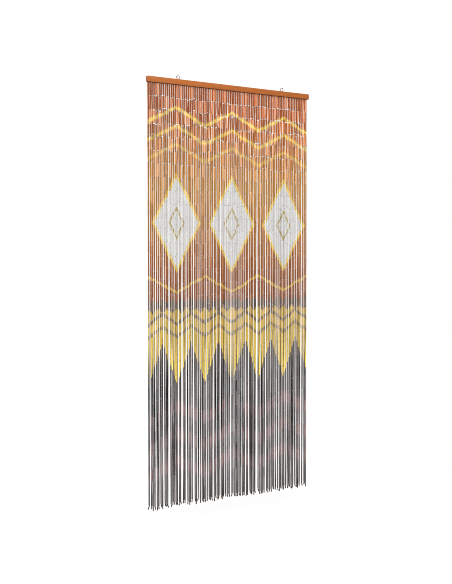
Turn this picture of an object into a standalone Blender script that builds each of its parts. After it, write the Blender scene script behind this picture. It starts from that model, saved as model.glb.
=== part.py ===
"""Bamboo door curtain: strands of threaded bamboo tubes under a painted wooden header bar.

Metres, +Z up. X runs along the bar, the front faces -Y, and the origin is the
centre of the bar's back face, the face that lies against the door frame.
"""

import math

import bmesh
import bpy

# Header bar, a square-edged batten with slightly rounded edges
BAR_LENGTH = 0.900
BAR_HEIGHT = 0.026
BAR_DEPTH = 0.020
BAR_ROUNDING = 0.003
BAR_ROUNDING_STEPS = 3
BAR_TOP = BAR_HEIGHT / 2
BAR_BOTTOM = -BAR_HEIGHT / 2
MID_DEPTH = -BAR_DEPTH / 2

# Whole curtain, from the bar's top to the middle of its uneven lower ends
CURTAIN_DROP = 2.000
UNEVEN_ENDS = 0.016

# Strands, side by side in one row, square where the real tubes are round
STRAND_COUNT = 90
STRAND_WIDTH = 0.0064
LEFT_MARGIN = 0.0065
RIGHT_MARGIN = 0.0130
STRAND_PITCH = (BAR_LENGTH - LEFT_MARGIN - RIGHT_MARGIN) / (STRAND_COUNT - 1)

# Strip that the strands' threads are knotted to, let into a groove under the bar
STRIP_HEIGHT = 0.003
STRIP_OVERHANG = 0.0005
CLEARANCE = 0.0003

# How the strands hang: the lean of a strand's foot, the bow of its middle, and the
# least distance from one strand's centre line to the next one's
LEAN_SIDEWAYS = 0.0056
LEAN_DEEP = 0.0042
BOW_SIDEWAYS = 0.0008
LEAST_SPACING = 0.0073

# The last strands at the right lean outwards, each a little more than the one before
EDGE_LEAN = 0.004
EDGE_STRANDS = 6

# End bead under each strand, on a short bare length of thread
THREAD_WIDTH = 0.0014
THREAD_BARE = 0.001
BEAD_WIDTH = 0.0050
BEAD_LENGTH = 0.013
BEAD_SPACING = 0.0060
BEAD_TILT_SIDEWAYS = 0.0055
BEAD_TILT_DEEP = 0.0025

# The run of the fixed scatter that each kind of unevenness follows
SCATTER_RUNS = {
    "foot sideways": 341,
    "foot in depth": 22,
    "length": 3,
    "bow": 4,
    "bead sideways": 2,
    "bead in depth": 6,
}

# Screw eyes on the bar's top
EYE_FROM_CENTRE = 0.290
EYE_WIRE_RADIUS = 0.0014
EYE_RING_RADIUS = 0.0076
EYE_SHANK_RADIUS = 0.0015
EYE_NECK_RADIUS = 0.0010
EYE_SHANK_DEPTH = 0.012
EYE_POINT_LENGTH = 0.002
RING_SEGMENTS = 28
WIRE_SEGMENTS = 8
SHANK_SEGMENTS = 10
SMOOTH_ANGLE = math.radians(40)

# Points closer than this are one point
MERGE_DISTANCE = 1e-6

# Colours, roughness and metallic value
BAR_PAINT = ((0.47, 0.155, 0.045), 0.45, 0.0)
TERRACOTTA_PAINT = ((0.40, 0.12, 0.045), 0.50, 0.0)
OCHRE_PAINT = ((0.56, 0.37, 0.06), 0.50, 0.0)
CHARCOAL_PAINT = ((0.045, 0.042, 0.042), 0.50, 0.0)
EYE_BRASS = ((0.56, 0.42, 0.29), 0.35, 1.0)

# A strand's stations below the bar: the share of its length, and the paint above it
STATIONS = (
    {"share": 0.18, "paint": "terracotta"},
    {"share": 0.35, "paint": "terracotta"},
    {"share": 0.52, "paint": "terracotta"},
    {"share": 0.68, "paint": "ochre"},
    {"share": 0.84, "paint": "charcoal"},
    {"share": 1.00, "paint": "charcoal"},
)
STRAND_PAINTS = {
    "terracotta": TERRACOTTA_PAINT,
    "ochre": OCHRE_PAINT,
    "charcoal": CHARCOAL_PAINT,
}


def clear_scene():
    for obj in list(bpy.data.objects):
        bpy.data.objects.remove(obj)


def make_material(name, paint):
    colour, roughness, metallic = paint
    material = bpy.data.materials.new(name)
    material.use_nodes = True
    shader = material.node_tree.nodes["Principled BSDF"]
    shader.inputs["Base Color"].default_value = (*colour, 1.0)
    shader.inputs["Roughness"].default_value = roughness
    shader.inputs["Metallic"].default_value = metallic
    material.diffuse_color = (*colour, 1.0)
    return material


def add_object(name, bm, location, parent=None):
    """Puts a bmesh in the scene as one object, with its normals facing out."""
    bmesh.ops.recalc_face_normals(bm, faces=bm.faces)
    mesh = bpy.data.meshes.new(name)
    bm.to_mesh(mesh)
    bm.free()
    obj = bpy.data.objects.new(name, mesh)
    obj.location = location
    obj.parent = parent
    bpy.context.scene.collection.objects.link(obj)
    return obj


def box_mesh(length, depth, height):
    bm = bmesh.new()
    bmesh.ops.create_cube(bm, size=1.0)
    bmesh.ops.scale(bm, vec=(length, depth, height), verts=bm.verts)
    return bm


def lathe_mesh(profile, segments):
    """Turns a profile of (radius, height) round Z. Its first and last points lie on the axis."""
    bm = bmesh.new()
    points = [bm.verts.new((radius, 0.0, height)) for radius, height in profile]
    edges = [bm.edges.new(pair) for pair in zip(points, points[1:])]
    bmesh.ops.spin(
        bm,
        geom=points + edges,
        cent=(0, 0, 0),
        axis=(0, 0, 1),
        angle=2 * math.pi,
        steps=segments,
        use_merge=True,
    )
    bmesh.ops.remove_doubles(bm, verts=bm.verts, dist=MERGE_DISTANCE)
    return bm


def make_helper(obj):
    obj.hide_render = True
    obj.display_type = "WIRE"
    return obj


def add_boolean(obj, other, operation):
    modifier = obj.modifiers.new(f"{operation.lower()} {other.name}", "BOOLEAN")
    modifier.operation = operation
    modifier.solver = "EXACT"
    modifier.object = other


def eye_place(side):
    """The middle of a screw eye's ring. Its lowest point just clears the bar."""
    above = CLEARANCE + EYE_RING_RADIUS + EYE_WIRE_RADIUS
    return (side * EYE_FROM_CENTRE, MID_DEPTH, BAR_TOP + above)


def build_bar(parent):
    """The batten, with a groove underneath for the strip and a pilot hole for each eye."""
    bar = add_object(
        "header_bar",
        box_mesh(BAR_LENGTH, BAR_DEPTH, BAR_HEIGHT),
        (0, MID_DEPTH, 0),
        parent,
    )
    rounding = bar.modifiers.new("rounded edges", "BEVEL")
    rounding.width = BAR_ROUNDING
    rounding.segments = BAR_ROUNDING_STEPS

    left, right = strip_ends()
    groove_length = right - left + 2 * CLEARANCE
    groove_width = STRAND_WIDTH + 2 * CLEARANCE
    groove_depth = STRIP_HEIGHT + CLEARANCE
    groove = add_object(
        "groove_cutter",
        box_mesh(groove_length, groove_width, 2 * groove_depth),
        ((left + right) / 2, MID_DEPTH, BAR_BOTTOM),
    )
    add_boolean(bar, make_helper(groove), "DIFFERENCE")

    hole_radius = EYE_SHANK_RADIUS + CLEARANCE
    hole_depth = EYE_SHANK_DEPTH + EYE_POINT_LENGTH + CLEARANCE
    for side, name in ((-1, "left_hole_cutter"), (1, "right_hole_cutter")):
        profile = (
            (0.0, -hole_depth),
            (hole_radius, -hole_depth),
            (hole_radius, hole_depth),
            (0.0, hole_depth),
        )
        hole = add_object(
            name,
            lathe_mesh(profile, SHANK_SEGMENTS),
            (side * EYE_FROM_CENTRE, MID_DEPTH, BAR_TOP),
        )
        add_boolean(bar, make_helper(hole), "DIFFERENCE")
    bar.data.materials.append(make_material("bar paint", BAR_PAINT))
    return bar


def ring_mesh():
    """A wire ring in the plane of the bar's front, round its own middle."""
    bm = bmesh.new()
    wire = bmesh.ops.create_circle(
        bm, segments=WIRE_SEGMENTS, radius=EYE_WIRE_RADIUS, cap_ends=False
    )["verts"]
    bmesh.ops.translate(bm, vec=(EYE_RING_RADIUS, 0, 0), verts=wire)
    bmesh.ops.spin(
        bm,
        geom=list(bm.verts) + list(bm.edges),
        cent=(0, 0, 0),
        axis=(0, 1, 0),
        angle=2 * math.pi,
        steps=RING_SEGMENTS,
        use_merge=True,
    )
    bmesh.ops.remove_doubles(bm, verts=bm.verts, dist=MERGE_DISTANCE)
    return bm


def build_eye(name, side, brass, parent):
    """A screw eye: the ring, and the pointed shank that goes into the bar."""
    place = eye_place(side)
    eye = add_object(name, ring_mesh(), place, parent)
    shank_top = -EYE_RING_RADIUS
    bar_top = BAR_TOP - place[2]
    profile = (
        (0.0, bar_top - EYE_SHANK_DEPTH - EYE_POINT_LENGTH),
        (EYE_SHANK_RADIUS, bar_top - EYE_SHANK_DEPTH),
        (EYE_SHANK_RADIUS, bar_top),
        (EYE_NECK_RADIUS, shank_top),
        (0.0, shank_top),
    )
    shank = add_object(
        name + "_shank_shape", lathe_mesh(profile, SHANK_SEGMENTS), place
    )
    add_boolean(eye, make_helper(shank), "UNION")
    eye.data.materials.append(brass)
    return eye


def scatter(index, kind):
    """A fixed number from -1 to 1 for each strand and kind of unevenness."""
    run = SCATTER_RUNS[kind]
    wave = math.sin(12.9898 * (index + 1) + 78.233 * run) * 43758.5453
    return 2 * (wave - math.floor(wave)) - 1


def home(index):
    """Where along X a strand leaves the bar."""
    return LEFT_MARGIN - BAR_LENGTH / 2 + index * STRAND_PITCH


def strip_ends():
    beside = STRAND_WIDTH / 2 + STRIP_OVERHANG
    return home(0) - beside, home(STRAND_COUNT - 1) + beside


def foot_places():
    """X of each strand's foot. Leaning strands close up in twos and threes but never cross."""
    upright = STRAND_COUNT - 1 - EDGE_STRANDS
    places = []
    for index in range(STRAND_COUNT):
        place = home(index) + LEAN_SIDEWAYS * scatter(index, "foot sideways")
        if places:
            place = max(place, places[-1] + LEAST_SPACING)
        places.append(place)
    drift = sum(places[i] - home(i) for i in range(STRAND_COUNT)) / STRAND_COUNT
    return [
        place - drift + EDGE_LEAN * max(0, index - upright) / EDGE_STRANDS
        for index, place in enumerate(places)
    ]


def tip_places(feet):
    """X of each end bead's lower end. A bead tilts only as far as its neighbours leave room."""
    tips = []
    for index, foot in enumerate(feet):
        tip = foot + BEAD_TILT_SIDEWAYS * scatter(index, "bead sideways")
        if index + 1 < len(feet):
            tip = min(tip, feet[index + 1] - BEAD_SPACING)
        if index:
            tip = max(tip, feet[index - 1] + BEAD_SPACING, tips[-1] + BEAD_SPACING)
        tips.append(tip)
    return tips


def strand_length(index):
    """From the bar's underside to the end of the last tube."""
    usual = CURTAIN_DROP - BAR_HEIGHT - BEAD_LENGTH - THREAD_BARE
    return usual + UNEVEN_ENDS / 2 * scatter(index, "length")


def strand_point(index, foot, share):
    """The centre of a strand at a share of its length, from the strip's underside."""
    bow = BOW_SIDEWAYS * scatter(index, "bow") * math.sin(math.pi * share)
    across = home(index) + (foot - home(index)) * share + bow
    deep = LEAN_DEEP * scatter(index, "foot in depth") * share
    return (across, deep, -strand_length(index) * share)


def grow(bm, face, centre, width):
    """Extrudes a strand's end face to a square of the given width round a new centre."""
    middle = face.calc_center_median()
    face = bmesh.ops.extrude_discrete_faces(bm, faces=[face])["faces"][0]
    for vert in face.verts:
        side = math.copysign(width / 2, vert.co.x - middle.x)
        front = math.copysign(width / 2, vert.co.y - middle.y)
        vert.co = (centre[0] + side, centre[1] + front, centre[2])
    return face


def grow_strand(bm, face, index, foot, tip, paint_slots):
    """Draws one strand down from its cell of the strip: the tubes, the thread and the bead."""
    for station in STATIONS:
        before = set(bm.faces)
        centre = strand_point(index, foot, station["share"])
        face = grow(bm, face, centre, STRAND_WIDTH)
        for side in set(bm.faces) - before:
            side.material_index = paint_slots[station["paint"]]
    across, deep, low = centre
    bead_top = low - THREAD_BARE
    tip_centre = (
        tip,
        deep + BEAD_TILT_DEEP * scatter(index, "bead in depth"),
        bead_top - BEAD_LENGTH,
    )
    face = grow(bm, face, centre, THREAD_WIDTH)
    face = grow(bm, face, (across, deep, bead_top), THREAD_WIDTH)
    face = grow(bm, face, (across, deep, bead_top), BEAD_WIDTH)
    grow(bm, face, tip_centre, BEAD_WIDTH)


def strip_mesh():
    """The strip as a row of cells, and the underside of each cell that carries a strand."""
    half_strand = STRAND_WIDTH / 2
    left_end, right_end = strip_ends()
    cuts = [left_end]
    for index in range(STRAND_COUNT):
        cuts += [home(index) - half_strand, home(index) + half_strand]
    cuts.append(right_end)

    bm = bmesh.new()
    corners = (
        (-half_strand, 0.0),
        (half_strand, 0.0),
        (half_strand, STRIP_HEIGHT),
        (-half_strand, STRIP_HEIGHT),
    )
    rings = [
        [bm.verts.new((cut, deep, height)) for deep, height in corners] for cut in cuts
    ]
    undersides = []
    for left, right in zip(rings, rings[1:]):
        for corner in range(4):
            after = (corner + 1) % 4
            face = bm.faces.new(
                (left[corner], right[corner], right[after], left[after])
            )
            if corner == 0:
                undersides.append(face)
    bm.faces.new(rings[0])
    bm.faces.new(rings[-1])
    bmesh.ops.recalc_face_normals(bm, faces=bm.faces)
    return bm, undersides[1::2]


def build_strands(parent):
    bm, roots = strip_mesh()
    paint_slots = {name: slot for slot, name in enumerate(STRAND_PAINTS)}
    feet = foot_places()
    tips = tip_places(feet)
    for index, face in enumerate(roots):
        grow_strand(bm, face, index, feet[index], tips[index], paint_slots)
    strands = add_object("strands", bm, (0, MID_DEPTH, BAR_BOTTOM), parent)
    for name, paint in STRAND_PAINTS.items():
        strands.data.materials.append(make_material(name + " paint", paint))
    return strands


def build_curtain():
    clear_scene()
    curtain = bpy.data.objects.new("door_curtain", None)
    bpy.context.scene.collection.objects.link(curtain)
    build_bar(curtain)
    brass = make_material("eye brass", EYE_BRASS)
    for side, name in ((-1, "eye_left"), (1, "eye_right")):
        eye = build_eye(name, side, brass, curtain)
        eye.data.shade_smooth()
        eye.data.set_sharp_from_angle(angle=SMOOTH_ANGLE)
    build_strands(curtain)


build_curtain()
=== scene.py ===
import math

import bmesh
import bpy
import numpy as np
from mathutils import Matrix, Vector


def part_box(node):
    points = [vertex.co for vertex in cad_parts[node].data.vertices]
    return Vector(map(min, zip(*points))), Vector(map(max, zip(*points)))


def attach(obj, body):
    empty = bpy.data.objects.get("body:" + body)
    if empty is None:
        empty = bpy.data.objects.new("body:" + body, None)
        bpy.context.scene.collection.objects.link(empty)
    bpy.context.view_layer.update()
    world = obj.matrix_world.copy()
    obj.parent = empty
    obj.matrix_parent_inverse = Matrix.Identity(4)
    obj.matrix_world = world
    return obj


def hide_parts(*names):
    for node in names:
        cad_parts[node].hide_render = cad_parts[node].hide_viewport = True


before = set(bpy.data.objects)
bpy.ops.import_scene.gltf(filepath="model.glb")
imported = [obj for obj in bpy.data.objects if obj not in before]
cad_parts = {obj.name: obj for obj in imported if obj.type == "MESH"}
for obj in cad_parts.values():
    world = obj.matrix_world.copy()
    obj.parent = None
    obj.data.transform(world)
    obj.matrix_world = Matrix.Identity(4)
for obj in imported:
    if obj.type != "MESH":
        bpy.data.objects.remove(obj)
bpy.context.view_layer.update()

# The curtain's main sizes in metres, the same ones its solids are built from.
# X runs along the bar, the front faces -Y and the bar's back lies at Y = 0.
curtain = {
    "barLength": 0.900,
    "barHeight": 0.026,
    "barDepth": 0.020,
    "drop": 2.000,
    "strands": 90,
    "leftMargin": 0.0065,
    "rightMargin": 0.0130,
    "leanSideways": 0.0056,
    "leanDeep": 0.0042,
    "bowSideways": 0.0008,
    "leastSpacing": 0.0073,
    "edgeLean": 0.004,  # how far the last strand at the right leans outwards
    "edgeStrands": 6,  # strands over which that lean grows
    "unevenEnds": 0.016,
    "strandWidth": 0.0064,
    "stripHeight": 0.003,
    "stripOverhang": 0.0005,
    "beadLength": 0.013,
    "beadSpacing": 0.0060,
    "beadTiltSideways": 0.0055,
    "beadTiltDeep": 0.0025,
    "threadBare": 0.001,
    "eyeFromCentre": 0.290,
    "eyeRingRadius": 0.0076,
    "eyeWireRadius": 0.0014,
    "clearance": 0.0003,
}
barTop = curtain["barHeight"] / 2
barBottom = -barTop
midDepth = -curtain["barDepth"] / 2
lastStrand = curtain["strands"] - 1
hungLength = curtain["barLength"] - curtain["leftMargin"] - curtain["rightMargin"]
strandPitch = hungLength / lastStrand


# A node's output that can be used in a sum, such as 1 - mask
class Field:
    def __init__(self, tree, socket):
        self.tree = tree
        self.socket = socket

    def out(self, name):
        return Field(self.tree, self.socket.node.outputs[name])

    def math(self, operation, *others):
        return self.tree.add("ShaderNodeMath", {"operation": operation}, [self, *others])

    def reflected(self, operation, first):
        return self.tree.add("ShaderNodeMath", {"operation": operation}, [first, self])

    def __add__(self, other):
        return self.math("ADD", other)

    def __sub__(self, other):
        return self.math("SUBTRACT", other)

    def __rsub__(self, other):
        return self.reflected("SUBTRACT", other)

    def __mul__(self, other):
        return self.math("MULTIPLY", other)

    def __truediv__(self, other):
        return self.math("DIVIDE", other)

    def __rtruediv__(self, other):
        return self.reflected("DIVIDE", other)

    __radd__ = __add__
    __rmul__ = __mul__

    # 0 below the level and 1 above it, with an edge that is soft on both sides
    def above(self, level, soft):
        return self.tree.add(
            "ShaderNodeMapRange",
            {"interpolation_type": "SMOOTHSTEP"},
            {"Value": self, "From Min": level - soft, "From Max": level + soft},
        )

    # 1 within reach of the line and 0 away from it
    def near(self, line, reach, soft):
        return 1 - (self - line).math("ABSOLUTE").above(reach, soft)

    # a zigzag that is 0 at every even multiple of the length and 1 at every odd one
    def zigzag(self, length):
        return self.math("PINGPONG", length) / length

    # the first number where this is 0 and the second where it is 1
    def between(self, first, second):
        return first + self * (second - first)


# Adds nodes to a tree, and holds the short forms of those that are used often
class NodeTree:
    def __init__(self, nodeTree):
        self.nodeTree = nodeTree

    def add(self, kind, settings=None, inputs=(), output=0):
        node = self.nodeTree.nodes.new(kind)
        for name, value in (settings or {}).items():
            if name == "stops":
                self.setStops(node, value)
            else:
                setattr(node, name, value)
        pairs = inputs.items() if isinstance(inputs, dict) else enumerate(inputs)
        for key, value in pairs:
            if isinstance(value, Field):
                self.nodeTree.links.new(value.socket, node.inputs[key])
            else:
                node.inputs[key].default_value = value
        return Field(self, node.outputs[output])

    def end(self, kind, key, field):
        output = self.nodeTree.nodes.new(kind)
        self.nodeTree.links.new(field.socket, output.inputs[key])

    def setStops(self, node, stops):
        elements = node.color_ramp.elements
        elements.remove(elements[1])
        elements[0].position, elements[0].color = stops[0]
        for place, colour in stops[1:]:
            elements.new(place).color = colour

    # shader nodes

    def bodyPlace(self):
        return self.add("ShaderNodeTexCoord", {}, (), "Object")

    def carried(self, name, output="Fac"):
        return self.add("ShaderNodeAttribute", {"attribute_name": name}, (), output)

    def mixColour(self, factor, first, second, blend="MIX"):
        settings = {"data_type": "RGBA", "blend_type": blend}
        return self.add("ShaderNodeMix", settings, {0: factor, 6: first, 7: second}, 2)

    def scaled(self, vector, factors):
        settings = {"operation": "MULTIPLY"}
        return self.add("ShaderNodeVectorMath", settings, [vector, factors])

    def noise(self, vector, scale, detail=2.0, roughness=0.5, output="Fac"):
        inputs = {
            "Vector": vector,
            "Scale": scale,
            "Detail": detail,
            "Roughness": roughness,
        }
        return self.add("ShaderNodeTexNoise", {}, inputs, output)

    # noise with a scale of its own along each axis
    def streaks(self, vector, scales, detail=2.0, roughness=0.5):
        return self.noise(self.scaled(vector, scales), 1.0, detail, roughness)

    def bump(self, height, strength, distance):
        inputs = {"Strength": strength, "Distance": distance, "Height": height}
        return self.add("ShaderNodeBump", {}, inputs, "Normal")

    # geometry nodes

    def stored(self, name, kind):
        settings = {"data_type": kind}
        return self.add("GeometryNodeInputNamedAttribute", settings, {"Name": name})

    def store(self, geometry, name, kind, value):
        settings = {"data_type": kind, "domain": "POINT"}
        inputs = {"Geometry": geometry, "Name": name, "Value": value}
        return self.add("GeometryNodeStoreNamedAttribute", settings, inputs)

    # a number by chance, from the node's two sockets for single numbers
    def chance(self, least, most, seed):
        return self.add("FunctionNodeRandomValue", {}, {2: least, 3: most, "Seed": seed}, 1)


# A colour as picked on a screen, from 0 to 255, as the light values that shaders take
def picked(red, green, blue):
    return tuple(((c / 255 + 0.055) / 1.055) ** 2.4 for c in (red, green, blue)) + (1.0,)


def newMaterial(name):
    material = bpy.data.materials.new(name)
    material.use_nodes = True
    material.node_tree.nodes.clear()
    return material, NodeTree(material.node_tree)


def finishMaterial(material, tree, colour, roughness, bump=None, **constants):
    inputs = {"Base Color": colour, "Roughness": roughness}
    if bump is not None:
        inputs["Normal"] = bump
    for name, value in constants.items():
        inputs[name.replace("_", " ")] = value
    shader = tree.add("ShaderNodeBsdfPrincipled", {}, inputs)
    tree.end("ShaderNodeOutputMaterial", "Surface", shader)
    return material


# How the strands hang. The solids' strands follow the same rule, with the same runs
# of a fixed scatter.
scatterRuns = {
    "footSideways": 341,
    "footInDepth": 22,
    "length": 3,
    "bow": 4,
    "beadSideways": 2,
    "beadInDepth": 6,
}


def scatter(index, kind):
    wave = math.sin(12.9898 * (index + 1) + 78.233 * scatterRuns[kind]) * 43758.5453
    return 2 * (wave - math.floor(wave)) - 1


def home(index):
    return curtain["leftMargin"] - curtain["barLength"] / 2 + index * strandPitch


# How far a strand near the right end leans outwards, on top of its scatter
def outwardLean(index):
    place = max(0, index - (lastStrand - curtain["edgeStrands"]))
    return curtain["edgeLean"] * place / curtain["edgeStrands"]


def footPlaces():
    places = []
    for index in range(curtain["strands"]):
        place = home(index) + curtain["leanSideways"] * scatter(index, "footSideways")
        if places:
            place = max(place, places[-1] + curtain["leastSpacing"])
        places.append(place)
    drift = sum(place - home(index) for index, place in enumerate(places)) / len(places)
    return [place - drift + outwardLean(index) for index, place in enumerate(places)]


def tipPlaces(feet):
    room = curtain["beadSpacing"]
    tips = []
    for index, foot in enumerate(feet):
        tip = foot + curtain["beadTiltSideways"] * scatter(index, "beadSideways")
        if index < lastStrand:
            tip = min(tip, feet[index + 1] - room)
        if index:
            tip = max(tip, feet[index - 1] + room, tips[-1] + room)
        tips.append(tip)
    return tips


def strandLength(index):
    usual = curtain["drop"] - curtain["barHeight"]
    usual -= curtain["beadLength"] + curtain["threadBare"]
    return usual + curtain["unevenEnds"] / 2 * scatter(index, "length")


# Unevenness that is left to the tubes: how far they stand off the strand's own line,
# how much their lengths differ, and the room between one tube and the next. It eases
# down to a calm share of itself between two heights, given as shares of the strand.
# The tubes are sorted, thick ones on top, usual ones from thinFrom on and slightly
# thinner ones at the bottom, and the thick ones get a little thinner to the right.
hanging = {
    "seed": 11,
    "tubesPerStrand": 32,
    "levels": 33,
    "tightLevels": 2,  # levels over which a strand still hangs straight under its knot
    "offSideways": 0.0004,
    "offDeep": 0.0008,
    "mostOff": 0.0012,
    "calmFrom": 0.10,
    "calmBelow": 0.25,
    "calm": 0.12,
    "topGirthLeft": 1.115,
    "topGirthRight": 1.060,
    "thinFrom": 0.35,
    "lowGirth": 0.96,
    "lengthSpread": 0.045,
    "leastGap": 0.0004,
    "mostGap": 0.0052,
    "lowGap": 0.0008,
    "looseEnds": 0.0004,
    "printSlip": 0.0030,
}


def eased(share, nearBar, below):
    return np.interp(share, (hanging["calmFrom"], hanging["calmBelow"]), (nearBar, below))


def unrestAt(share):
    return eased(share, 1, hanging["calm"])


# A tube's thickness as a share of the usual one
def girthAt(share, index=0):
    ends = (hanging["topGirthLeft"], hanging["topGirthRight"])
    top = np.interp(index / lastStrand, (0, 1), ends)
    return np.interp(share, (0, hanging["thinFrom"], 1), (top, 1, hanging["lowGirth"]))


# Each strand's line: where it passes every level, and the levels' shares of its length
def hangStrands(feet, chance):
    count, levels = curtain["strands"], hanging["levels"]
    share = np.linspace(0, 1, levels)
    across = np.empty((count, levels))
    deep = np.empty((count, levels))
    for index in range(count):
        bow = curtain["bowSideways"] * scatter(index, "bow") * np.sin(math.pi * share)
        across[index] = home(index) + (feet[index] - home(index)) * share + bow
        deep[index] = midDepth + curtain["leanDeep"] * scatter(index, "footInDepth") * share
    straight = across.copy()
    free = np.minimum(share * levels / hanging["tightLevels"], 1) * unrestAt(share)
    most = hanging["mostOff"]
    for places, spread in ((across, hanging["offSideways"]), (deep, hanging["offDeep"])):
        places += chance.normal(0, spread, places.shape).clip(-most, most) * free
    apart = curtain["leastSpacing"] * np.maximum(girthAt(share), 1)
    for index in range(1, count):
        across[index] = np.maximum(across[index], across[index - 1] + apart)
    across -= (across - straight).mean(axis=0)
    return share, across, deep


def placeTubes():
    chance = np.random.default_rng(hanging["seed"])
    feet = footPlaces()
    tips = tipPlaces(feet)
    share, across, deep = hangStrands(feet, chance)
    tubes, leastGap = hanging["tubesPerStrand"], hanging["leastGap"]
    strands = []
    for index in range(curtain["strands"]):
        length = strandLength(index)
        lengths = chance.normal(1, hanging["lengthSpread"], tubes)
        joints = np.concatenate(([0], np.cumsum(lengths))) * length / lengths.sum()
        mostGap = eased(joints / length, hanging["mostGap"], hanging["lowGap"])
        gaps = leastGap + (mostGap - leastGap) * chance.uniform(0, 1, joints.size) ** 2
        gaps[0] = gaps[-1] = leastGap
        slip = hanging["printSlip"] * chance.uniform(-1, 1)

        def pointAt(fall, loose=0.0):
            place = Vector((
                np.interp(fall / length, share, across[index]),
                np.interp(fall / length, share, deep[index]),
                barBottom - fall,
            ))
            nudge = chance.uniform(-loose, loose, 2)
            return place + Vector((nudge[0], nudge[1], 0))

        tubeEnds = []
        for tube in range(tubes):
            loose = hanging["looseEnds"] * unrestAt(joints[tube] / length)
            top = pointAt(joints[tube] + gaps[tube] / 2, loose)
            bottom = pointAt(joints[tube + 1] - gaps[tube + 1] / 2, loose)
            tubeEnds.append((top, bottom, girthAt(joints[tube] / length, index)))
        foot = pointAt(length)
        beadTop = foot - Vector((0, 0, curtain["threadBare"]))
        tip = Vector((
            tips[index],
            foot.y + curtain["beadTiltDeep"] * scatter(index, "beadInDepth"),
            beadTop.z - curtain["beadLength"],
        ))
        strands.append({
            "tubes": tubeEnds,
            "knots": [pointAt(joint) for joint in joints[1:]],
            "bead": (beadTop, tip, 1.0),
            "slip": slip,
            "home": home(index),
        })
    return strands


strands = placeTubes()
print("strands hung:", len(strands), "with", len(strands[0]["tubes"]), "tubes each")


# The print on the tubes. Heights are metres below the bar, strengths run from 0 to 1,
# and a rise is how high a zigzag climbs. The ground is a run of colours by height.
curtainPrint = {
    "ground": (
        (0.00, picked(126, 56, 13)),
        (0.12, picked(126, 56, 13)),
        (0.48, picked(145, 106, 50)),
        (0.84, picked(120, 70, 38)),
        (1.00, picked(104, 58, 40)),
    ),
    "offWhite": picked(186, 185, 183),
    "yellow": picked(180, 156, 52),
    "ochre": picked(152, 131, 58),
    "charcoal": picked(66, 62, 61),
    "maroon": picked(112, 86, 85),
    "softEdge": 0.004,
    "unevenness": {"scale": 34.0, "roughness": 0.6},
    "sway": {"across": 0.010, "down": 0.016},
    "repeat": 0.150,
    "chevrons": {
        "lines": ((0.105, 0.95), (0.190, 0.80), (0.275, 0.55)),
        "rise": 0.075,
        "halfWidth": 0.008,
        "softEdge": 0.006,
    },
    "lozenges": {
        "centre": 0.640,
        "halfHeight": 0.235,
        "halfWidth": 0.128,
        "face": 0.90,
        "softEdge": 0.025,
        "ring": 0.30,
        "ringHalfWidth": 0.035,
        "ringSoftEdge": 0.03,
    },
    "tails": {"line": 0.965, "rise": 0.075, "halfWidth": 0.006, "strength": 0.7},
    "band": {
        "border": 1.015,
        "ochre": 1.040,
        "teeth": 0.022,
        "lines": ((1.115, 0.85), (1.175, 0.70)),
        "rise": 0.05,
        "halfWidth": 0.009,
        "end": 1.400,
        "peaks": 0.20,
    },
    "faintZigzags": {
        "lines": (1.50, 1.63, 1.76),
        "rise": 0.07,
        "halfWidth": 0.028,
        "softEdge": 0.016,
        "strength": 0.36,
    },
}


# The print's colour, and a mask of the lozenges' off-white faces
def makePrint(tree, values, across, drop):
    soft, repeat = values["softEdge"], values["repeat"]
    wide = across.zigzag(repeat)
    narrow = across.zigzag(repeat / 2)
    fine = across.zigzag(repeat / 6)
    colour = tree.add("ShaderNodeValToRGB", {"stops": values["ground"]}, [drop])

    chevrons = values["chevrons"]
    climb = drop - wide * chevrons["rise"]
    for line, strength in chevrons["lines"]:
        mask = climb.near(line, chevrons["halfWidth"], chevrons["softEdge"])
        colour = tree.mixColour(mask * strength, colour, values["yellow"])
    tails = values["tails"]
    mask = (drop + wide * tails["rise"]).near(tails["line"], tails["halfWidth"], soft)
    colour = tree.mixColour(mask * tails["strength"], colour, values["yellow"])

    # lozenges: yellow outline, off-white face, a small ochre one in the middle
    shape = values["lozenges"]
    blur = shape["softEdge"]
    high = (drop - shape["centre"]).math("ABSOLUTE") / shape["halfHeight"]
    reach = wide * (repeat / shape["halfWidth"]) + high
    colour = tree.mixColour(1 - reach.above(1.0, blur), colour, values["yellow"])
    face = 1 - reach.above(shape["face"], blur)
    colour = tree.mixColour(face, colour, values["offWhite"])
    ring = reach.near(shape["ring"], shape["ringHalfWidth"], shape["ringSoftEdge"])
    colour = tree.mixColour(ring, colour, values["ochre"])

    # ochre band between a thin charcoal border and the charcoal ground, toothed edges
    band = values["band"]
    teeth = fine * band["teeth"]
    border = (drop + teeth).above(band["border"], soft)
    colour = tree.mixColour(border, colour, values["charcoal"])
    inside = (drop - teeth).above(band["ochre"], soft)
    colour = tree.mixColour(inside, colour, values["ochre"])
    climb = drop + narrow * band["rise"]
    for line, strength in band["lines"]:
        mask = climb.near(line, band["halfWidth"], soft)
        colour = tree.mixColour(mask * strength, colour, values["charcoal"])
    peaks = (drop + narrow * band["peaks"]).above(band["end"], soft)
    colour = tree.mixColour(peaks, colour, values["charcoal"])

    faint = values["faintZigzags"]
    climb = drop - wide * faint["rise"]
    for line in faint["lines"]:
        mask = climb.near(line, faint["halfWidth"], faint["softEdge"])
        colour = tree.mixColour(mask * faint["strength"], colour, values["maroon"])
    return colour, face


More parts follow.
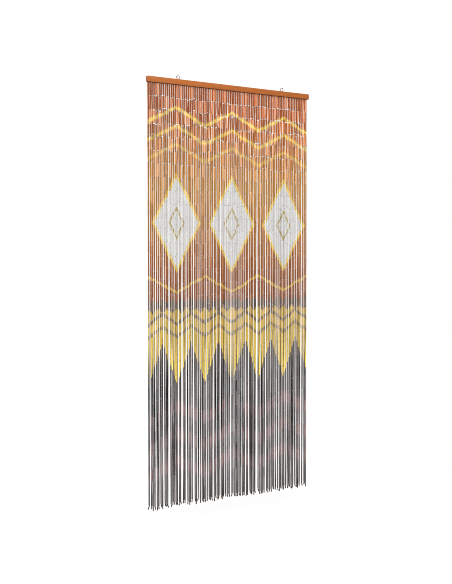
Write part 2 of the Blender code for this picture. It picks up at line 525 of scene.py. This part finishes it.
# Painted bamboo: every strand and tube has a tone of its own, with calmer tubes further
# down, and the paint is thin over fibres and on the sides that face the neighbours.
# In the low charcoal band those sides get painted shade instead, for the shade between
# the tubes, and near the bar the tubes get a painted highlight that grows to the right.
# A pair such as (level, soft edge) says where a mask begins, and a pair of tones or
# shares holds for the tubes near the bar and for the calmer ones.
paintedBamboo = {
    "thinTerracotta": picked(200, 156, 114),
    "thinWhite": picked(124, 121, 114),
    # painted shade: the colour of the sides that face the neighbours in the low charcoal
    # band
    "paintedShadeOnSides": picked(32, 30, 29),
    # cut ends and bores: brown end grain, darkened further as painted shade in the bores
    # and at the joints
    "cutEnd": picked(104, 72, 46),
    "fibres": {"scales": (1500, 1500, 12), "detail": 3.0, "roughness": 0.6},
    "patches": {"scales": (260, 260, 14)},
    "strands": {"scales": (101, 0, 1.6), "detail": 1.0},
    "calmBelow": (0.38, 0.22),
    "lowBelow": (1.20, 0.20),
    "darken": 0.40,
    "fibreTone": 0.20,
    "strandTone": (0.36, 0.60),
    "tubeTone": (0.62, 0.28),
    # a painted highlight: near the bar the tubes get lighter towards the right, from this
    # place on
    "paintedHighlightFrom": -0.35,
    "paintedHighlightToRight": 0.35,
    "evenFaces": 0.65,
    "lowDarken": 0.90,
    "lowLightStrands": (0.49, 0.11),
    "lowLight": 3.4,
    "thinFibres": (0.62, 0.12),
    "thinOverFibres": 0.15,
    "thinPatches": (0.60, 0.10),
    "thinOverPatches": 0.10,
    "thinSides": (0.45, 0.25),
    "thinOnSides": 0.8,
    "paleTubes": (0.80, 0.10),
    "thinOnPale": (0.45, 0.12),
    "roughness": (0.40, 0.65),
    "relief": (0.35, 0.0002),
    "gloss": 0.25,
}


# The print is read from printAt, where each bit of a tube hung when it was painted, so
# its edges step a little from strand to strand as the tubes slide.
def makePaintedBamboo(values):
    material, tree = newMaterial("paintedBamboo")
    place = tree.carried("printAt", "Vector")
    spot = tree.add("ShaderNodeSeparateXYZ", {}, [place])
    wobble = tree.noise(place, output="Color", **curtainPrint["unevenness"])
    wobble = tree.add("ShaderNodeSeparateColor", {}, [wobble])
    sway = curtainPrint["sway"]
    across = spot + (wobble - 0.5) * sway["across"]
    drop = barBottom - spot.out("Z") + (wobble.out("Green") - 0.5) * sway["down"]
    colour, face = makePrint(tree, curtainPrint, across, drop)

    body = tree.bodyPlace()
    fibres = tree.streaks(body, **values["fibres"])
    patches = tree.streaks(body, **values["patches"])
    strandTone = tree.streaks(place, **values["strands"])
    shade = tree.carried("shade")
    low = drop.above(*values["lowBelow"])
    calm = drop.above(*values["calmBelow"])

    tone = fibres * values["fibreTone"] + strandTone * calm.between(*values["strandTone"])
    tone = tone - values["darken"] + shade * shade * calm.between(*values["tubeTone"])
    # painted highlight, lighter towards the right near the bar
    highlightToRight = (across - values["paintedHighlightFrom"]) * values["paintedHighlightToRight"]
    tone = tone + highlightToRight * (1 - calm)
    tone = 1 + tone * (1 - face * values["evenFaces"])
    lightStrands = strandTone.above(*values["lowLightStrands"])
    tone = tone + low * (lightStrands * values["lowLight"] - values["lowDarken"])
    ownTone = tree.add("ShaderNodeCombineColor", {}, [tone] * 3)
    colour = tree.mixColour(1.0, colour, ownTone, "MULTIPLY")

    facing = tree.add("ShaderNodeNewGeometry", {}, (), "Normal")
    facing = tree.add("ShaderNodeSeparateXYZ", {}, [facing], "Y").math("ABSOLUTE")
    thin = fibres.above(*values["thinFibres"]) * values["thinOverFibres"]
    thin = thin + patches.above(*values["thinPatches"]) * values["thinOverPatches"]
    thin = thin + (1 - facing.above(*values["thinSides"])) * values["thinOnSides"]
    pale = shade.above(*values["paleTubes"])
    thin = thin + pale * calm.between(*values["thinOnPale"])
    side = tree.mixColour(face, values["thinTerracotta"], values["thinWhite"])
    side = tree.mixColour(1.0, colour, side, "ADD")
    # in the low charcoal band the sides get painted shade in place of thin paint
    side = tree.mixColour(low, side, values["paintedShadeOnSides"])
    colour = tree.mixColour(thin.math("MINIMUM", 1.0), colour, side)
    # cut ends and bores take cutEnd, partly end grain and partly painted shade at the
    # joints
    colour = tree.mixColour(tree.carried("cut"), colour, values["cutEnd"])

    roughness = fibres.between(*values["roughness"])
    bump = tree.bump(fibres, *values["relief"])
    gloss = values["gloss"]
    return finishMaterial(material, tree, colour, roughness, bump, Specular_IOR_Level=gloss)


# Dark stained bamboo of the end beads
beadStain = {
    "dark": picked(38, 26, 19),
    "light": picked(88, 64, 46),
    "fibres": {"scales": (1100, 1100, 60), "detail": 3.0, "roughness": 0.6},
    "lightFibres": (0.60, 0.15),
    "lightBeads": (0.72, 0.10),
    "lighten": 0.45,
    "lightenCuts": 0.3,
    "roughness": (0.38, 0.58),
    "relief": (0.4, 0.0002),
}


def makeBeadStain(values):
    material, tree = newMaterial("stainedBead")
    fibres = tree.streaks(tree.bodyPlace(), **values["fibres"])
    light = fibres.above(*values["lightFibres"]) * values["lighten"]
    light = light + tree.carried("shade").above(*values["lightBeads"]) * values["lighten"]
    light = light + tree.carried("cut") * values["lightenCuts"]
    colour = tree.mixColour(light, values["dark"], values["light"])
    roughness = fibres.between(*values["roughness"])
    bump = tree.bump(fibres, *values["relief"])
    return finishMaterial(material, tree, colour, roughness, bump)


# Waxed thread and its knots
threadTwine = {
    "dark": picked(62, 38, 24),
    "light": picked(112, 76, 50),
    "plyScale": 420.0,
    "unevenPlies": 1.5,
    "roughness": (0.55, 0.75),
    "relief": (0.6, 0.0002),
}


def makeThreadTwine(values):
    material, tree = newMaterial("waxedThread")
    plies = tree.add(
        "ShaderNodeTexWave",
        {"wave_type": "BANDS", "bands_direction": "DIAGONAL"},
        {
            "Vector": tree.bodyPlace(),
            "Scale": values["plyScale"],
            "Distortion": values["unevenPlies"],
            "Detail": 1.0,
        },
        "Fac",
    )
    colour = tree.mixColour(plies, values["dark"], values["light"])
    roughness = plies.between(*values["roughness"])
    bump = tree.bump(plies, *values["relief"])
    return finishMaterial(material, tree, colour, roughness, bump)


# Satin paint on the softwood bar, rubbed thin along its edges
barPaint = {
    "paint": picked(180, 101, 41),
    "deeper": picked(160, 84, 33),
    "wood": picked(204, 148, 92),
    "grain": {"scales": (9, 420, 420), "detail": 4.0, "roughness": 0.6},
    "strokes": {"scales": (16, 150, 150), "detail": 3.0, "roughness": 0.55},
    "specks": {"scale": 900.0, "roughness": 0.6},
    "deepStrokes": (0.52, 0.16),
    "deepen": 0.55,
    "openGrain": (0.66, 0.10),
    "showGrain": 0.25,
    "rubbedWidth": 0.0012,
    "rubbedSpecks": (0.50, 0.12),
    "rub": 0.55,
    "roughness": (0.36, 0.58),
    "relief": (0.25, 0.0004),
    "grainRelief": 0.7,
    "speckRelief": 0.3,
}


def makeBarPaint(values):
    material, tree = newMaterial("barPaint")
    body = tree.bodyPlace()
    spot = tree.add("ShaderNodeSeparateXYZ", {}, [body])
    grain = tree.streaks(body, **values["grain"])
    strokes = tree.streaks(body, **values["strokes"])
    specks = tree.noise(body, **values["specks"])
    deep = strokes.above(*values["deepStrokes"]) * values["deepen"]
    colour = tree.mixColour(deep, values["paint"], values["deeper"])
    bare = grain.above(*values["openGrain"]) * values["showGrain"]
    colour = tree.mixColour(bare, colour, values["wood"])

    # an edge is where two of the bar's three outsides are close by
    width = values["rubbedWidth"]
    height = spot.out("Z").math("ABSOLUTE").above(barTop - width, width)
    depth = (spot.out("Y") - midDepth).math("ABSOLUTE").above(-midDepth - width, width)
    end = spot.out("X").math("ABSOLUTE").above(curtain["barLength"] / 2 - width, width)
    edges = height * depth + height * end + depth * end
    rubbed = edges.math("MINIMUM", 1.0) * specks.above(*values["rubbedSpecks"])
    colour = tree.mixColour(rubbed * values["rub"], colour, values["wood"])

    roughness = strokes.between(*values["roughness"])
    relief = grain * values["grainRelief"] + specks * values["speckRelief"]
    bump = tree.bump(relief, *values["relief"])
    return finishMaterial(material, tree, colour, roughness, bump)


# Brass-plated wire of the screw eyes
eyeBrass = {
    "bright": picked(168, 116, 74),
    "dull": picked(122, 80, 50),
    "clouds": {"scale": 420.0, "detail": 4.0, "roughness": 0.6},
    "scuffs": {"scales": (3000, 3000, 500)},
    "dullClouds": (0.52, 0.18),
    "roughness": (0.26, 0.48),
    "roughScuffs": 0.08,
    "relief": (0.15, 0.0001),
}


def makeEyeBrass(values):
    material, tree = newMaterial("eyeBrass")
    body = tree.bodyPlace()
    clouds = tree.noise(body, **values["clouds"])
    scuffs = tree.streaks(body, **values["scuffs"])
    dull = clouds.above(*values["dullClouds"])
    colour = tree.mixColour(dull, values["bright"], values["dull"])
    roughness = clouds.between(*values["roughness"]) + scuffs * values["roughScuffs"]
    bump = tree.bump(scuffs, *values["relief"])
    return finishMaterial(material, tree, colour, roughness, bump, Metallic=1.0)


# Geometry Nodes: one tree makes the tubes and beads and another one the threads
def newGeometryTree(name, inputs):
    group = bpy.data.node_groups.new(name, "GeometryNodeTree")
    sockets = group.interface
    sockets.new_socket("Geometry", in_out="OUTPUT", socket_type="NodeSocketGeometry")
    sockets.new_socket("Geometry", in_out="INPUT", socket_type="NodeSocketGeometry")
    for label, kind in inputs:
        sockets.new_socket(label, in_out="INPUT", socket_type="NodeSocket" + kind)
    return group, NodeTree(group)


def endTree(tree, geometry, material):
    solid = tree.add("GeometryNodeRealizeInstances", {}, [geometry])
    inputs = {"Geometry": solid, "Material": material}
    finished = tree.add("GeometryNodeSetMaterial", {}, inputs)
    tree.end("NodeGroupOutput", 0, finished)


# Every point becomes a tube that is as long as its aim, turned by chance about itself
def makeTubeTree():
    group, tree = newGeometryTree(
        "tubesOnThreads",
        [
            ("Tube shape", "Object"),
            ("Least radius", "Float"),
            ("Most radius", "Float"),
            ("Seed", "Int"),
            ("Finish", "Material"),
        ],
    )
    given = tree.add("NodeGroupInput", {}, (), "Geometry")
    aim = tree.stored("aim", "FLOAT_VECTOR")
    turnSeed, shadeSeed = 3, 29
    turn = tree.chance(0.0, math.tau, turnSeed)
    shade = tree.chance(0.0, 1.0, shadeSeed)
    least, most = given.out("Least radius"), given.out("Most radius")
    radius = tree.chance(least, most, given.out("Seed")) * tree.stored("girth", "FLOAT")
    along = tree.add(
        "FunctionNodeAlignRotationToVector", {"axis": "Z"}, {"Factor": 1.0, "Vector": aim}
    )
    twist = tree.add(
        "FunctionNodeAxisAngleToRotation", {}, {"Axis": (0.0, 0.0, 1.0), "Angle": turn}
    )
    rotation = tree.add(
        "FunctionNodeRotateRotation", {"rotation_space": "LOCAL"}, [along, twist]
    )
    length = tree.add("ShaderNodeVectorMath", {"operation": "LENGTH"}, [aim], "Value")
    size = tree.add("ShaderNodeCombineXYZ", {}, [radius, radius, length])
    tube = tree.add("GeometryNodeObjectInfo", {}, [given.out("Tube shape")], "Geometry")
    points = tree.store(given, "shade", "FLOAT", shade)
    tubes = tree.add(
        "GeometryNodeInstanceOnPoints",
        {},
        {"Points": points, "Instance": tube, "Rotation": rotation, "Scale": size},
    )
    solid = tree.add("GeometryNodeRealizeInstances", {}, [tubes])
    place = tree.add("GeometryNodeInputPosition")
    slide = tree.stored("slide", "FLOAT_VECTOR")
    printAt = tree.add("ShaderNodeVectorMath", {"operation": "ADD"}, [place, slide])
    solid = tree.store(solid, "printAt", "FLOAT_VECTOR", printAt)
    endTree(tree, solid, given.out("Finish"))
    return group


# Every chain of points becomes a thread, thicker where its points say so
def makeThreadTree():
    group, tree = newGeometryTree(
        "threads",
        [("Radius", "Float"), ("Sides", "Int"), ("Finish", "Material")],
    )
    given = tree.add("NodeGroupInput", {}, (), "Geometry")
    line = tree.add("GeometryNodeMeshToCurve", {}, [given])
    circle = tree.add(
        "GeometryNodeCurvePrimitiveCircle",
        {},
        {"Resolution": given.out("Sides"), "Radius": given.out("Radius")},
    )
    thread = tree.add(
        "GeometryNodeCurveToMesh",
        {},
        {
            "Curve": line,
            "Profile Curve": circle,
            "Scale": tree.stored("thick", "FLOAT"),
            "Fill Caps": True,
        },
    )
    endTree(tree, thread, given.out("Finish"))
    return group


tubeTree = makeTubeTree()
threadTree = makeThreadTree()


def newObject(name, data):
    piece = bpy.data.objects.new(name, data)
    bpy.context.scene.collection.objects.link(piece)
    return piece


def meshFrom(name, bm):
    mesh = bpy.data.meshes.new(name)
    bm.to_mesh(mesh)
    bm.free()
    return mesh


# A mesh of points or edges that carries values, each as its kind, field and numbers
def seedMesh(name, points, edges, carried):
    mesh = bpy.data.meshes.new(name)
    mesh.from_pydata(points, edges, [])
    for label, (kind, field, numbers) in carried.items():
        attribute = mesh.attributes.new(label, kind, "POINT")
        attribute.data.foreach_set(field, np.array(numbers, dtype=np.float32).ravel())
    return mesh


# Keeps what an object's modifiers give as its own plain mesh
def applied(piece):
    name = piece.name
    evaluated = piece.evaluated_get(bpy.context.evaluated_depsgraph_get())
    mesh = bpy.data.meshes.new_from_object(evaluated)
    mesh.name = name
    bpy.data.objects.remove(piece)
    return newObject(name, mesh)


# Runs a tree on a seed mesh, and drops the values that only the tree needed
def grow(name, seed, group, inputs):
    carrier = newObject(name, seed)
    modifier = carrier.modifiers.new(group.name, "NODES")
    modifier.node_group = group
    for item in group.interface.items_tree:
        if item.in_out == "INPUT" and item.name in inputs:
            modifier[item.identifier] = inputs[item.name]
    bpy.context.view_layer.update()
    piece = applied(carrier)
    attributes = piece.data.attributes
    for label in ("aim", "slide", "girth", "thick"):
        if label in attributes:
            attributes.remove(attributes[label])
    return piece


def boxObject(name, lowest, highest):
    lowest, highest = Vector(lowest), Vector(highest)
    bm = bmesh.new()
    bmesh.ops.create_cube(bm, size=1.0)
    bmesh.ops.scale(bm, vec=highest - lowest, verts=bm.verts)
    bmesh.ops.translate(bm, vec=(highest + lowest) / 2, verts=bm.verts)
    return newObject(name, meshFrom(name, bm))


def roundObject(name, centre, radius, height, segments):
    bm = bmesh.new()
    bmesh.ops.create_cone(
        bm, cap_ends=True, segments=segments, radius1=radius, radius2=radius, depth=height
    )
    bmesh.ops.translate(bm, vec=centre, verts=bm.verts)
    return newObject(name, meshFrom(name, bm))


def addBevel(piece, width, segments):
    bevel = piece.modifiers.new("roundedEdges", "BEVEL")
    bevel.width = width
    bevel.segments = segments
    bevel.limit_method = "ANGLE"


def smoothAndPaint(piece, sharpFrom, finish):
    mesh = piece.data
    mesh.shade_smooth()
    mesh.set_sharp_from_angle(angle=math.radians(sharpFrom))
    mesh.materials.clear()
    mesh.materials.append(finish)


def finishPiece(piece, node):
    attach(piece, "root")
    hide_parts(node)


# A closed ring profile of (radius, height) turned round Z. What lies within the radius
# cutWithin is marked as cut.
def turnedRing(name, profile, sides, sharpFrom, cutWithin):
    bm = bmesh.new()
    angles = [math.tau * side / sides for side in range(sides)]
    rings = [
        [bm.verts.new((radius * math.cos(a), radius * math.sin(a), height)) for a in angles]
        for radius, height in profile
    ]
    for ring, after in zip(rings, rings[1:] + rings[:1]):
        for side in range(sides):
            other = (side + 1) % sides
            bm.faces.new((ring[side], ring[other], after[other], after[side]))
    bmesh.ops.recalc_face_normals(bm, faces=bm.faces)
    for face in bm.faces:
        face.smooth = True
    mesh = meshFrom(name, bm)
    mesh.set_sharp_from_angle(angle=math.radians(sharpFrom))
    cut = mesh.attributes.new("cut", "FLOAT", "POINT")
    for vert in mesh.vertices:
        radius = math.hypot(vert.co.x, vert.co.y)
        cut.data[vert.index].value = 1.0 if radius < cutWithin else 0.0
    return mesh


# A tube, one unit in radius and length: outer wall, broken edges, cut ends and bore
def unitTube(name, values):
    high, edge, bore = 0.5, values["edge"], values["bore"]
    profile = (
        (1.0, high - values["edgeLength"]),
        (1.0 - edge, high),
        (bore, high - values["slant"]),
        (bore * values["boreWaist"], 0.0),
        (bore, -high + values["slant"]),
        (1.0 - edge, -high),
        (1.0, -high + values["edgeLength"]),
    )
    sides, sharpFrom = values["sides"], values["sharpFrom"]
    return newObject(name, turnedRing(name, profile, sides, sharpFrom, 1.0 - edge / 2))


# One piece of tubes or beads: a unit tube at every pair of ends
def threadedPiece(name, values, seed, ends, slides, finish):
    shape = unitTube(name + "Shape", values)
    centres = [(top + bottom) / 2 for top, bottom, girth in ends]
    carried = {
        "aim": ("FLOAT_VECTOR", "vector", [top - bottom for top, bottom, girth in ends]),
        "slide": ("FLOAT_VECTOR", "vector", slides),
        "girth": ("FLOAT", "value", [girth for top, bottom, girth in ends]),
    }
    inputs = {
        "Tube shape": shape,
        "Least radius": values["leastRadius"],
        "Most radius": values["mostRadius"],
        "Seed": seed,
        "Finish": finish,
    }
    piece = grow(name, seedMesh(name + "Points", centres, [], carried), tubeTree, inputs)
    finishPiece(piece, "strands")
    bpy.data.objects.remove(shape)


# Bamboo tubes, in a few pieces from left to right. The shape's values are shares of the
# tube's radius, and those of edgeLength and slant are shares of its length.
bambooTubes = {
    "pieces": 5,
    "seed": 7,
    "leastRadius": 0.0034,
    "mostRadius": 0.0038,
    "sides": 10,
    "bore": 0.50,
    "boreWaist": 0.96,
    "edge": 0.10,
    "edgeLength": 0.010,
    "slant": 0.004,
    "sharpFrom": 50,
}


def makeTubes(strands, finish):
    perPiece = len(strands) // bambooTubes["pieces"]
    for part in range(bambooTubes["pieces"]):
        ends, slides = [], []
        for strand in strands[part * perPiece:(part + 1) * perPiece]:
            ends += strand["tubes"]
            for top, bottom, girth in strand["tubes"]:
                middle = (top.x + bottom.x) / 2
                slides.append(Vector((strand["home"] - middle, 0, strand["slip"])))
        seed = bambooTubes["seed"] + part
        threadedPiece(f"bambooTubes{part + 1}", bambooTubes, seed, ends, slides, finish)


makeTubes(strands, makePaintedBamboo(paintedBamboo))
print("bamboo tubes threaded")


# End beads, a short dark tube under each strand
endBeads = {
    "seed": 5,
    "leastRadius": 0.0024,
    "mostRadius": 0.0029,
    "sides": 10,
    "bore": 0.42,
    "boreWaist": 0.96,
    "edge": 0.22,
    "edgeLength": 0.06,
    "slant": 0.02,
    "sharpFrom": 50,
}


def makeEndBeads(strands, finish):
    ends = [strand["bead"] for strand in strands]
    slides = [Vector((0, 0, 0))] * len(ends)
    threadedPiece("endBeads", endBeads, endBeads["seed"], ends, slides, finish)


makeEndBeads(strands, makeBeadStain(beadStain))
print("end beads hung")


# Threads with a knot at each joint, from the strip in the bar down through the beads
threads = {
    "radius": 0.00045,
    "sides": 5,
    "intoStrip": 0.0025,
    "knot": 2.3,  # a knot's thickness in threads
    "knotHalf": 0.0013,
    "knotShoulder": 0.45,  # where it is full, as a share of its half length
    "tail": 0.0012,
}


def knotStations(place):
    half, knot = threads["knotHalf"], threads["knot"]
    shoulder = half * threads["knotShoulder"]
    return [
        (place + Vector((0, 0, half)), 1.0),
        (place + Vector((0, 0, shoulder)), knot),
        (place - Vector((0, 0, shoulder)), knot),
        (place - Vector((0, 0, half)), 1.0),
    ]


def makeThreads(strands, finish):
    points, edges, thick = [], [], []
    for strand in strands:
        start = Vector((strand["home"], midDepth, barBottom))
        stations = [(start + Vector((0, 0, threads["intoStrip"])), 1.0), (start, 1.0)]
        for place in strand["knots"]:
            stations += knotStations(place)
        beadTop, tip, _ = strand["bead"]
        stations.append((beadTop, 1.0))
        stations += knotStations(tip - Vector((0, 0, threads["tail"])))
        first = len(points)
        for place, size in stations:
            points.append(place)
            thick.append(size)
        edges += [(index, index + 1) for index in range(first, len(points) - 1)]
    lines = seedMesh("threadLines", points, edges, {"thick": ("FLOAT", "value", thick)})
    inputs = {"Radius": threads["radius"], "Sides": threads["sides"], "Finish": finish}
    piece = grow("threads", lines, threadTree, inputs)
    finishPiece(piece, "strands")


twine = makeThreadTwine(threadTwine)
makeThreads(strands, twine)
print("threads knotted")


# The strip in the bar's groove that the threads are knotted to
knotStrip = {"rounding": 0.0008, "segments": 3, "sharpFrom": 40}


def stripEnds():
    beside = curtain["strandWidth"] / 2 + curtain["stripOverhang"]
    return home(0) - beside, home(lastStrand) + beside


def makeKnotStrip(finish):
    left, right = stripEnds()
    deep = curtain["strandWidth"] / 2
    piece = boxObject(
        "knotStrip",
        (left, midDepth - deep, barBottom),
        (right, midDepth + deep, barBottom + curtain["stripHeight"]),
    )
    addBevel(piece, knotStrip["rounding"], knotStrip["segments"])
    piece = applied(piece)
    smoothAndPaint(piece, knotStrip["sharpFrom"], finish)
    finishPiece(piece, "strands")


makeKnotStrip(twine)


# Header bar: a batten with softly rounded edges, the groove and the eyes' pilot holes
headerBar = {
    "rounding": 0.0030,
    "segments": 6,
    "holeRadius": 0.0018,
    "holeDepth": 0.0143,
    "holeSides": 20,
    "sharpFrom": 35,
}


def makeHeaderBar(finish):
    lowest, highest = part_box("header_bar")
    bar = boxObject("headerBar", lowest, highest)
    addBevel(bar, headerBar["rounding"], headerBar["segments"])
    gap = curtain["clearance"]
    left, right = stripEnds()
    deep = curtain["strandWidth"] / 2 + gap
    groove = curtain["stripHeight"] + gap
    cutters = [
        boxObject(
            "grooveCutter",
            (left - gap, midDepth - deep, barBottom - groove),
            (right + gap, midDepth + deep, barBottom + groove),
        )
    ]
    radius, height = headerBar["holeRadius"], 2 * headerBar["holeDepth"]
    for side in (-1, 1):
        place = (side * curtain["eyeFromCentre"], midDepth, barTop)
        cutters.append(
            roundObject("holeCutter", place, radius, height, headerBar["holeSides"])
        )
    for cutter in cutters:
        cut = bar.modifiers.new("cut", "BOOLEAN")
        cut.operation = "DIFFERENCE"
        cut.solver = "EXACT"
        cut.object = cutter
    bar = applied(bar)
    for cutter in cutters:
        bpy.data.objects.remove(cutter)
    smoothAndPaint(bar, headerBar["sharpFrom"], finish)
    finishPiece(bar, "header_bar")


makeHeaderBar(makeBarPaint(barPaint))
print("header bar painted")


# Screw eyes, bent from one wire: a pointed shank, a short neck and an open ring. The
# neck is given as steps to the side and up from the bar's top.
screwEye = {
    "ringSteps": 44,
    "gapAngle": 17,
    "shank": 0.012,
    "point": 0.002,
    "pointSize": 0.1,
    "shankSize": 1.07,
    "shankTop": -0.0012,
    "neck": ((0, -0.0004), (0.0002, 0.0004), (0.0009, 0.0010)),
    "roundness": 4,
    "weld": 1e-6,
    "sharpFrom": 45,
}


# The wire's path in the ring's own plane, as steps aside, steps up and thicknesses
def eyePath(bar, ring):
    shank, size = screwEye["shank"], screwEye["shankSize"]
    path = [
        (0, bar - shank - screwEye["point"], screwEye["pointSize"]),
        (0, bar - shank, size),
        (0, bar + screwEye["shankTop"], size),
    ]
    path += [(aside, bar + up, 1.0) for aside, up in screwEye["neck"]]
    start, end = -90 + screwEye["gapAngle"], 270 - screwEye["gapAngle"]
    for step in range(screwEye["ringSteps"] + 1):
        angle = math.radians(start + (end - start) * step / screwEye["ringSteps"])
        path.append((ring * math.cos(angle), ring * math.sin(angle), 1.0))
    return path


def makeScrewEye(name, side, node, finish):
    ring, wire = curtain["eyeRingRadius"], curtain["eyeWireRadius"]
    centre = Vector((
        side * curtain["eyeFromCentre"],
        midDepth,
        barTop + curtain["clearance"] + ring + wire,
    ))
    path = eyePath(barTop - centre.z, ring)
    curve = bpy.data.curves.new(name, "CURVE")
    curve.dimensions = "3D"
    curve.bevel_depth = wire
    curve.bevel_resolution = screwEye["roundness"]
    curve.use_fill_caps = True
    spline = curve.splines.new("POLY")
    spline.points.add(len(path) - 1)
    for point, (aside, up, size) in zip(spline.points, path):
        point.co = (centre.x + aside, centre.y, centre.z + up, 1.0)
        point.radius = size
    eye = applied(newObject(name, curve))
    bm = bmesh.new()
    bm.from_mesh(eye.data)
    bmesh.ops.remove_doubles(bm, verts=bm.verts, dist=screwEye["weld"])
    bmesh.ops.recalc_face_normals(bm, faces=bm.faces)
    bm.to_mesh(eye.data)
    bm.free()
    smoothAndPaint(eye, screwEye["sharpFrom"], finish)
    finishPiece(eye, node)


brass = makeEyeBrass(eyeBrass)
makeScrewEye("leftEye", -1, "eye_left", brass)
makeScrewEye("rightEye", 1, "eye_right", brass)
print("screw eyes bent")


# Plain pale floor a little below the beads, soft studio light and a white surround
studio = {
    "white": (1.0, 1.0, 1.0, 1.0),
    "floor": {
        "height": -2.10,
        "thickness": 0.02,
        "radius": 1.6,
        "sides": 96,
        "colour": (0.20, 0.20, 0.20, 1.0),
        "roughness": 0.9,
        "glow": 0.80,
    },
    "surround": {"below": 0.28, "above": 0.50, "horizon": (0.0, 0.6)},
    "sky": {"aim": (0.35, 0.60, -0.85), "strength": 2.4, "angle": 35},
    "target": (0, midDepth, -0.9),
    "lights": (
        {"name": "keyLight", "place": (-2.6, -3.4, 1.0), "size": 2.0, "power": 110},
        {"name": "backLight", "place": (1.5, 3.8, 0.6), "size": 2.0, "power": 90},
    ),
}


def makeSurround(values):
    world = bpy.data.worlds.new("studio")
    world.use_nodes = True
    world.node_tree.nodes.clear()
    tree = NodeTree(world.node_tree)
    way = tree.add("ShaderNodeTexCoord", {}, (), "Generated")
    height = tree.add("ShaderNodeSeparateXYZ", {}, [way], "Z").above(*values["horizon"])
    strength = height.between(values["below"], values["above"])
    light = tree.add("ShaderNodeBackground", {}, {"Strength": strength})
    white = tree.add("ShaderNodeBackground", {}, {"Color": studio["white"]})
    seen = tree.add("ShaderNodeLightPath", {}, (), "Is Camera Ray")
    both = tree.add("ShaderNodeMixShader", {}, [seen, light, white])
    tree.end("ShaderNodeOutputWorld", "Surface", both)
    bpy.context.scene.world = world


def makeFloor(values):
    thick = values["thickness"]
    centre = (0, 0, values["height"] - thick / 2)
    floor = roundObject("floor", centre, values["radius"], thick, values["sides"])
    material, tree = newMaterial("paleFloor")
    glow = {"Emission_Color": studio["white"], "Emission_Strength": values["glow"]}
    finishMaterial(material, tree, values["colour"], values["roughness"], **glow)
    floor.data.materials.append(material)


# Turns a lamp or the camera to look along a vector
def aimAlong(piece, way):
    piece.rotation_euler = way.to_track_quat("-Z", "Y").to_euler()


def makeLights():
    for values in studio["lights"]:
        light = bpy.data.lights.new(values["name"], "AREA")
        light.size = values["size"]
        light.energy = values["power"]
        lamp = newObject(values["name"], light)
        lamp.location = values["place"]
        aimAlong(lamp, Vector(studio["target"]) - lamp.location)
    light = bpy.data.lights.new("skyPanel", "SUN")
    light.energy = studio["sky"]["strength"]
    light.angle = math.radians(studio["sky"]["angle"])
    aimAlong(newObject("skyPanel", light), Vector(studio["sky"]["aim"]))


makeSurround(studio["surround"])
makeFloor(studio["floor"])
makeLights()


# The photograph's camera, in front of the curtain and to its left
camera = {
    "place": (-2.1449, -3.6410, -0.8266),
    "turn": 30.199,
    "dip": 2.109,
    "focalPixels": 868.07,
    "photoHeight": 584,
    "sensor": 36.0,
    "farEnd": 100,
    "pixelFilter": 0.9,  # as sharp as the photograph where stripes are 2 pixels wide
}


def makeCamera():
    data = bpy.data.cameras.new("camera")
    data.sensor_width = camera["sensor"]
    data.sensor_fit = "AUTO"
    data.lens = camera["sensor"] * camera["focalPixels"] / camera["photoHeight"]
    data.clip_end = camera["farEnd"]
    eye = newObject("camera", data)
    eye.location = camera["place"]
    turn, dip = math.radians(camera["turn"]), math.radians(camera["dip"])
    sight = Vector((
        math.sin(turn) * math.cos(dip),
        math.cos(turn) * math.cos(dip),
        -math.sin(dip),
    ))
    aimAlong(eye, sight)
    scene = bpy.context.scene
    scene.camera = eye
    scene.view_settings.view_transform = "Standard"
    scene.view_settings.look = "None"
    scene.cycles.filter_width = camera["pixelFilter"]


makeCamera()
print("studio and camera set")
